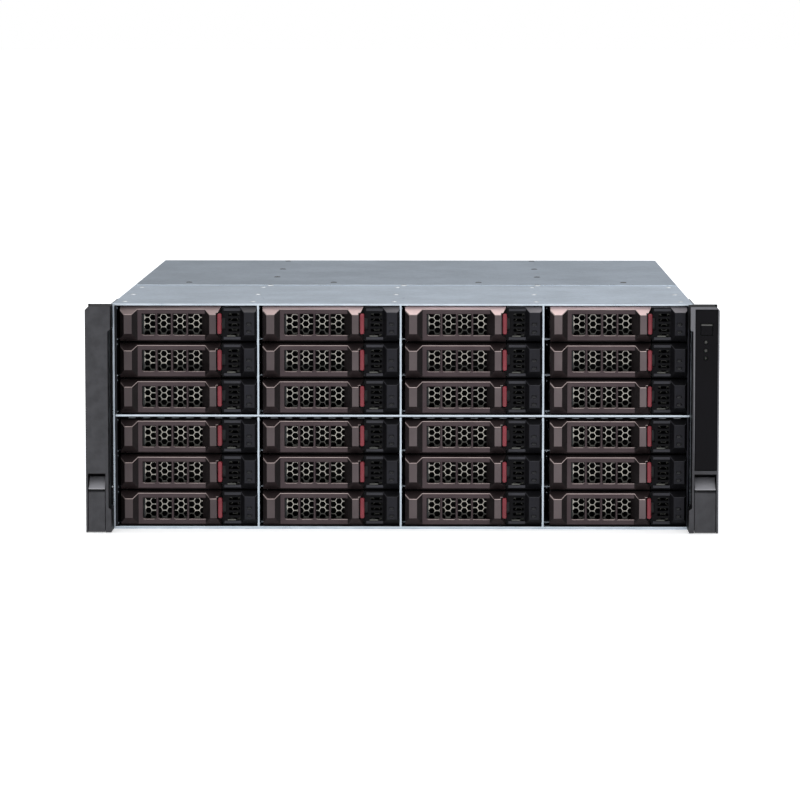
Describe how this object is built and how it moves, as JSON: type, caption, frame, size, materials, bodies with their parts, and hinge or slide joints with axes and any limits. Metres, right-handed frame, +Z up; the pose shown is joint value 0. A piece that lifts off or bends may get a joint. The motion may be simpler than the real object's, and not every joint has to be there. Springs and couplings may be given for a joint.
{
  "type": "disk shelf enclosure",
  "caption": "Rack disk shelf: galvanised case with hinged-handle drive carriers in front, moulded ears with latch levers, power and I/O modules at the rear.",
  "frame": {"origin": "on the underside, midway across, at the plane of the case's front edges", "axes": "+X to the right seen from the front, +Y to the rear, +Z up"},
  "size_m": [0.4826, 0.582, 0.1747],
  "materials": {
    "galvanised_steel": "galvanised sheet, faint grain",
    "plated_fasteners": "zinc plated",
    "dark_fasteners": "black oxide",
    "circuit_board": "green laminate",
    "black_plastic": "fine moulded texture",
    "smoked_plastic": "clear smoked",
    "black_steel": "black powder coat",
    "grey_plastic": "fine moulded texture",
    "red_plastic": "satin moulded",
    "brown_painted_handle": "metallic brown, satin",
    "carrier_metal": "plain sheet and cast metal",
    "module_steel": "galvanised sheet"
  },
  "bodies": {
    "chassis": {"backplane_board": "circuit_board", "backplane_connectors": "black_plastic", "base_tray": "galvanised_steel", "bay_dividers": "galvanised_steel", "control_panel": "black_plastic", "ear_brackets": "black_steel", "front_cover_fasteners": "plated_fasteners", "front_top_cover": "galvanised_steel", "left_ear_cover": "grey_plastic", "mid_shelf": "galvanised_steel", "rear_frame": "galvanised_steel", "right_ear_cover": "grey_plastic", "status_light_pipes": "smoked_plastic"},
    "rear_cover": {"rear_top_cover": "galvanised_steel", "rear_cover_screws": "dark_fasteners"},
    "power_button": {"power_button": "black_plastic"},
    "left_latch_lever": {"left_latch_lever": "grey_plastic"},
    "right_latch_lever": {"right_latch_lever": "grey_plastic"},
    "carrier_1_1": {"carrier_1_1": "carrier_metal"},
    "carrier_1_2": {"carrier_1_2": "carrier_metal"},
    "carrier_1_3": {"carrier_1_3": "carrier_metal"},
    "carrier_1_4": {"carrier_1_4": "carrier_metal"},
    "carrier_1_5": {"carrier_1_5": "carrier_metal"},
    "carrier_1_6": {"carrier_1_6": "carrier_metal"},
    "carrier_1_6_handle": {"carrier_1_6_handle": "brown_painted_handle"},
    "carrier_1_6_latch": {"carrier_1_6_latch": "red_plastic"},
    "carrier_2_1": {"carrier_2_1": "carrier_metal"},
    "carrier_2_2": {"carrier_2_2": "carrier_metal"},
    "carrier_2_3": {"carrier_2_3": "carrier_metal"},
    "carrier_2_4": {"carrier_2_4": "carrier_metal"},
    "carrier_2_5": {"carrier_2_5": "carrier_metal"},
    "carrier_2_6": {"carrier_2_6": "carrier_metal"},
    "carrier_2_6_handle": {"carrier_2_6_handle": "brown_painted_handle"},
    "carrier_2_6_latch": {"carrier_2_6_latch": "red_plastic"},
    "carrier_3_1": {"carrier_3_1": "carrier_metal"},
    "carrier_3_2": {"carrier_3_2": "carrier_metal"},
    "carrier_3_3": {"carrier_3_3": "carrier_metal"},
    "carrier_3_4": {"carrier_3_4": "carrier_metal"},
    "carrier_3_5": {"carrier_3_5": "carrier_metal"},
    "carrier_3_6": {"carrier_3_6": "carrier_metal"},
    "carrier_3_6_handle": {"carrier_3_6_handle": "brown_painted_handle"},
    "carrier_3_6_latch": {"carrier_3_6_latch": "red_plastic"},
    "carrier_4_1": {"carrier_4_1": "carrier_metal"},
    "carrier_4_2": {"carrier_4_2": "carrier_metal"},
    "carrier_4_3": {"carrier_4_3": "carrier_metal"},
    "carrier_4_4": {"carrier_4_4": "carrier_metal"},
    "carrier_4_5": {"carrier_4_5": "carrier_metal"},
    "carrier_4_6": {"carrier_4_6": "carrier_metal"},
    "carrier_4_6_handle": {"carrier_4_6_handle": "brown_painted_handle"},
    "carrier_4_6_latch": {"carrier_4_6_latch": "red_plastic"},
    "psu_1": {"psu_1": "module_steel"},
    "psu_1_handle": {"psu_1_handle": "black_plastic"},
    "psu_1_fan_rotor": {"psu_1_fan_rotor": "black_plastic"},
    "io_module_1": {"io_module_1": "module_steel"},
    "io_module_1_handle": {"io_module_1_handle": "black_plastic"},
    "psu_2": {"psu_2": "module_steel"},
    "psu_2_handle": {"psu_2_handle": "black_plastic"},
    "psu_2_fan_rotor": {"psu_2_fan_rotor": "black_plastic"},
    "io_module_2": {"io_module_2": "module_steel"},
    "io_module_2_handle": {"io_module_2_handle": "black_plastic"}
  },
  "joints": [
    {"name": "rear_cover_lift", "type": "slide", "parent": "chassis", "child": "rear_cover", "axis": [0, 0, 1], "range_m": [0, 0.12]},
    {"name": "power_button_press", "type": "slide", "parent": "chassis", "child": "power_button", "axis": [0, 1, 0], "range_m": [0, 0.0015], "stiffness_N_per_m": 300},
    {"name": "left_latch_lever_hinge", "type": "hinge", "parent": "chassis", "child": "left_latch_lever", "pos_m": [-0.233, -0.0224, 0.0036], "axis": [1, 0, 0], "range_deg": [0, 75]},
    {"name": "right_latch_lever_hinge", "type": "hinge", "parent": "chassis", "child": "right_latch_lever", "pos_m": [0.233, -0.0224, 0.0036], "axis": [1, 0, 0], "range_deg": [0, 75]},
    {"name": "carrier_1_1_slide", "type": "slide", "parent": "chassis", "child": "carrier_1_1", "axis": [0, -1, 0], "range_m": [0, 0.2]},
    {"name": "carrier_1_2_slide", "type": "slide", "parent": "chassis", "child": "carrier_1_2", "axis": [0, -1, 0], "range_m": [0, 0.2]},
    {"name": "carrier_1_3_slide", "type": "slide", "parent": "chassis", "child": "carrier_1_3", "axis": [0, -1, 0], "range_m": [0, 0.2]},
    {"name": "carrier_1_4_slide", "type": "slide", "parent": "chassis", "child": "carrier_1_4", "axis": [0, -1, 0], "range_m": [0, 0.2]},
    {"name": "carrier_1_5_slide", "type": "slide", "parent": "chassis", "child": "carrier_1_5", "axis": [0, -1, 0], "range_m": [0, 0.2]},
    {"name": "carrier_1_6_slide", "type": "slide", "parent": "chassis", "child": "carrier_1_6", "axis": [0, -1, 0], "range_m": [0, 0.2]},
    {"name": "carrier_1_6_handle_hinge", "type": "hinge", "parent": "carrier_1_6", "child": "carrier_1_6_handle", "pos_m": [-0.2133, 0.0026, 0.1584], "axis": [0, 0, -1], "range_deg": [0, 50]},
    {"name": "carrier_1_6_latch_slide", "type": "slide", "parent": "carrier_1_6", "child": "carrier_1_6_latch", "axis": [1, 0, 0], "range_m": [0, 0.002], "stiffness_N_per_m": 400},
    {"name": "carrier_2_1_slide", "type": "slide", "parent": "chassis", "child": "carrier_2_1", "axis": [0, -1, 0], "range_m": [0, 0.2]},
    {"name": "carrier_2_2_slide", "type": "slide", "parent": "chassis", "child": "carrier_2_2", "axis": [0, -1, 0], "range_m": [0, 0.2]},
    {"name": "carrier_2_3_slide", "type": "slide", "parent": "chassis", "child": "carrier_2_3", "axis": [0, -1, 0], "range_m": [0, 0.2]},
    {"name": "carrier_2_4_slide", "type": "slide", "parent": "chassis", "child": "carrier_2_4", "axis": [0, -1, 0], "range_m": [0, 0.2]},
    {"name": "carrier_2_5_slide", "type": "slide", "parent": "chassis", "child": "carrier_2_5", "axis": [0, -1, 0], "range_m": [0, 0.2]},
    {"name": "carrier_2_6_slide", "type": "slide", "parent": "chassis", "child": "carrier_2_6", "axis": [0, -1, 0], "range_m": [0, 0.2]},
    {"name": "carrier_2_6_handle_hinge", "type": "hinge", "parent": "carrier_2_6", "child": "carrier_2_6_handle", "pos_m": [-0.10395, 0.0026, 0.1584], "axis": [0, 0, -1], "range_deg": [0, 50]},
    {"name": "carrier_2_6_latch_slide", "type": "slide", "parent": "carrier_2_6", "child": "carrier_2_6_latch", "axis": [1, 0, 0], "range_m": [0, 0.002], "stiffness_N_per_m": 400},
    {"name": "carrier_3_1_slide", "type": "slide", "parent": "chassis", "child": "carrier_3_1", "axis": [0, -1, 0], "range_m": [0, 0.2]},
    {"name": "carrier_3_2_slide", "type": "slide", "parent": "chassis", "child": "carrier_3_2", "axis": [0, -1, 0], "range_m": [0, 0.2]},
    {"name": "carrier_3_3_slide", "type": "slide", "parent": "chassis", "child": "carrier_3_3", "axis": [0, -1, 0], "range_m": [0, 0.2]},
    {"name": "carrier_3_4_slide", "type": "slide", "parent": "chassis", "child": "carrier_3_4", "axis": [0, -1, 0], "range_m": [0, 0.2]},
    {"name": "carrier_3_5_slide", "type": "slide", "parent": "chassis", "child": "carrier_3_5", "axis": [0, -1, 0], "range_m": [0, 0.2]},
    {"name": "carrier_3_6_slide", "type": "slide", "parent": "chassis", "child": "carrier_3_6", "axis": [0, -1, 0], "range_m": [0, 0.2]},
    {"name": "carrier_3_6_handle_hinge", "type": "hinge", "parent": "carrier_3_6", "child": "carrier_3_6_handle", "pos_m": [0.0054, 0.0026, 0.1584], "axis": [0, 0, -1], "range_deg": [0, 50]},
    {"name": "carrier_3_6_latch_slide", "type": "slide", "parent": "carrier_3_6", "child": "carrier_3_6_latch", "axis": [1, 0, 0], "range_m": [0, 0.002], "stiffness_N_per_m": 400},
    {"name": "carrier_4_1_slide", "type": "slide", "parent": "chassis", "child": "carrier_4_1", "axis": [0, -1, 0], "range_m": [0, 0.2]},
    {"name": "carrier_4_2_slide", "type": "slide", "parent": "chassis", "child": "carrier_4_2", "axis": [0, -1, 0], "range_m": [0, 0.2]},
    {"name": "carrier_4_3_slide", "type": "slide", "parent": "chassis", "child": "carrier_4_3", "axis": [0, -1, 0], "range_m": [0, 0.2]},
    {"name": "carrier_4_4_slide", "type": "slide", "parent": "chassis", "child": "carrier_4_4", "axis": [0, -1, 0], "range_m": [0, 0.2]},
    {"name": "carrier_4_5_slide", "type": "slide", "parent": "chassis", "child": "carrier_4_5", "axis": [0, -1, 0], "range_m": [0, 0.2]},
    {"name": "carrier_4_6_slide", "type": "slide", "parent": "chassis", "child": "carrier_4_6", "axis": [0, -1, 0], "range_m": [0, 0.2]},
    {"name": "carrier_4_6_handle_hinge", "type": "hinge", "parent": "carrier_4_6", "child": "carrier_4_6_handle", "pos_m": [0.11655, 0.0026, 0.1584], "axis": [0, 0, -1], "range_deg": [0, 50]},
    {"name": "carrier_4_6_latch_slide", "type": "slide", "parent": "carrier_4_6", "child": "carrier_4_6_latch", "axis": [1, 0, 0], "range_m": [0, 0.002], "stiffness_N_per_m": 400},
    {"name": "psu_1_slide", "type": "slide", "parent": "chassis", "child": "psu_1", "axis": [0, 1, 0], "range_m": [0, 0.34]},
    {"name": "psu_1_handle_hinge", "type": "hinge", "parent": "psu_1", "child": "psu_1_handle", "pos_m": [-0.0546, 0.5535, 0.055], "axis": [1, 0, 0], "range_deg": [0, 90]},
    {"name": "psu_1_fan_spin", "type": "hinge", "parent": "psu_1", "child": "psu_1_fan_rotor", "pos_m": [-0.1586, 0.535, 0.056], "axis": [0, 1, 0], "continuous": true},
    {"name": "io_module_1_slide", "type": "slide", "parent": "chassis", "child": "io_module_1", "axis": [0, 1, 0], "range_m": [0, 0.34]},
    {"name": "io_module_1_handle_hinge", "type": "hinge", "parent": "io_module_1", "child": "io_module_1_handle", "pos_m": [-0.0646, 0.5535, 0.1584], "axis": [1, 0, 0], "range_deg": [0, 90]},
    {"name": "psu_2_slide", "type": "slide", "parent": "chassis", "child": "psu_2", "axis": [0, 1, 0], "range_m": [0, 0.34]},
    {"name": "psu_2_handle_hinge", "type": "hinge", "parent": "psu_2", "child": "psu_2_handle", "pos_m": [0.1666, 0.5535, 0.055], "axis": [1, 0, 0], "range_deg": [0, 90]},
    {"name": "psu_2_fan_spin", "type": "hinge", "parent": "psu_2", "child": "psu_2_fan_rotor", "pos_m": [0.0626, 0.535, 0.056], "axis": [0, 1, 0], "continuous": true},
    {"name": "io_module_2_slide", "type": "slide", "parent": "chassis", "child": "io_module_2", "axis": [0, 1, 0], "range_m": [0, 0.34]},
    {"name": "io_module_2_handle_hinge", "type": "hinge", "parent": "io_module_2", "child": "io_module_2_handle", "pos_m": [0.1566, 0.5535, 0.1584], "axis": [1, 0, 0], "range_deg": [0, 90]}
  ]
}
